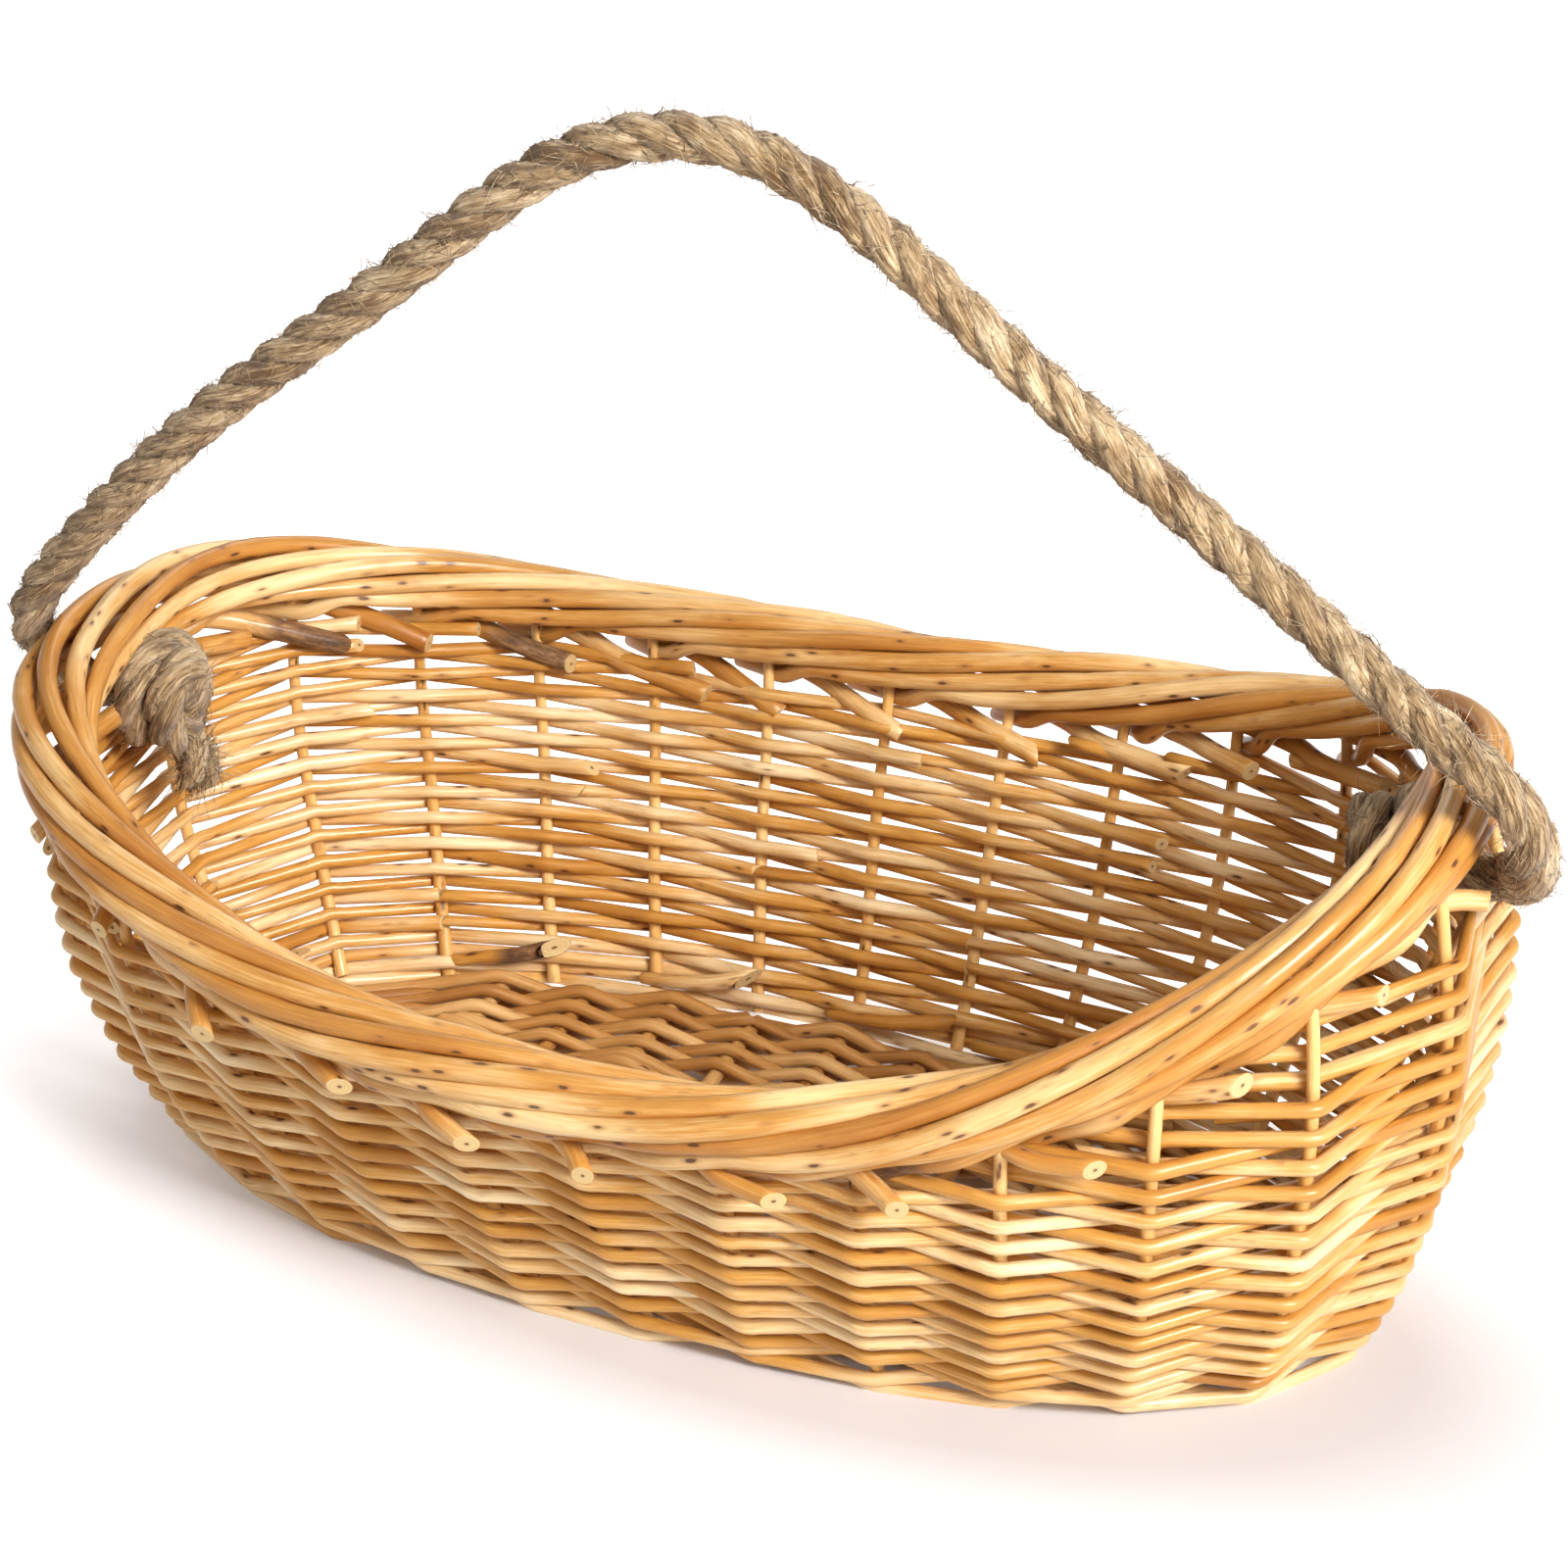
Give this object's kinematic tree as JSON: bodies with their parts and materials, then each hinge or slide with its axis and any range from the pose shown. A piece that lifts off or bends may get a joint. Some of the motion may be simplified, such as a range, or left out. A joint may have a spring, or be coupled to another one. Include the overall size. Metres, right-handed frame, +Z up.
{
  "type": "egg collection basket",
  "caption": "Oval willow basket with a dipping woven wall, rolled border, flat woven base and a swinging rope handle knotted through both ends.",
  "frame": {"origin": "on the ground under the middle of the rim's width, near the middle of its length", "axes": "+Z up, +X along the basket towards its higher end, +Y towards the far long side"},
  "size_m": [0.5009, 0.2776, 0.3542],
  "materials": {
    "base_willow": "dry buff willow, slightly darker than the sides",
    "stake_willow": "peeled buff willow, satin",
    "weaver_willow": "peeled buff willow, honey coloured, satin",
    "border_willow": "thick buff willow, amber, satin sheen",
    "jute_rope": "three-strand hairy jute, matte"
  },
  "bodies": {
    "basket": {"base_long_sticks": "base_willow", "base_cross_sticks": "base_willow", "base_hoop": "base_willow", "base_rounds": "base_willow", "base_filling": "base_willow", "side_stakes": "stake_willow", "foot_wale": "weaver_willow", "weaver_row_01": "weaver_willow", "weaver_row_02": "weaver_willow", "weaver_row_03": "weaver_willow", "weaver_row_04": "weaver_willow", "weaver_row_05": "weaver_willow", "weaver_row_06": "weaver_willow", "weaver_row_07": "weaver_willow", "weaver_row_08": "weaver_willow", "weaver_row_09": "weaver_willow", "weaver_row_10": "weaver_willow", "weaver_row_11": "weaver_willow", "weaver_row_12": "weaver_willow", "weaver_row_13": "weaver_willow", "weaver_row_14": "weaver_willow", "weaver_row_15": "weaver_willow", "weaver_row_16": "weaver_willow", "weaver_row_17": "weaver_willow", "weaver_row_18": "weaver_willow", "weaver_row_19": "weaver_willow", "weaver_row_20": "weaver_willow", "packing_rows_low_end": "weaver_willow", "packing_rows_high_end": "weaver_willow", "border_rods": "border_willow"},
    "handle": {"rope_strand_1": "jute_rope", "rope_strand_2": "jute_rope", "rope_strand_3": "jute_rope", "knot_low_end": "jute_rope", "knot_high_end": "jute_rope", "rope_tail_low_end": "jute_rope", "rope_tail_high_end": "jute_rope"}
  },
  "joints": [
    {"name": "handle_swing", "type": "hinge", "parent": "basket", "child": "handle", "pos_m": [-0.22293, 0, 0.133], "axis": [0.9976, 0, 0.0688], "range_deg": [-70, 32]}
  ]
}
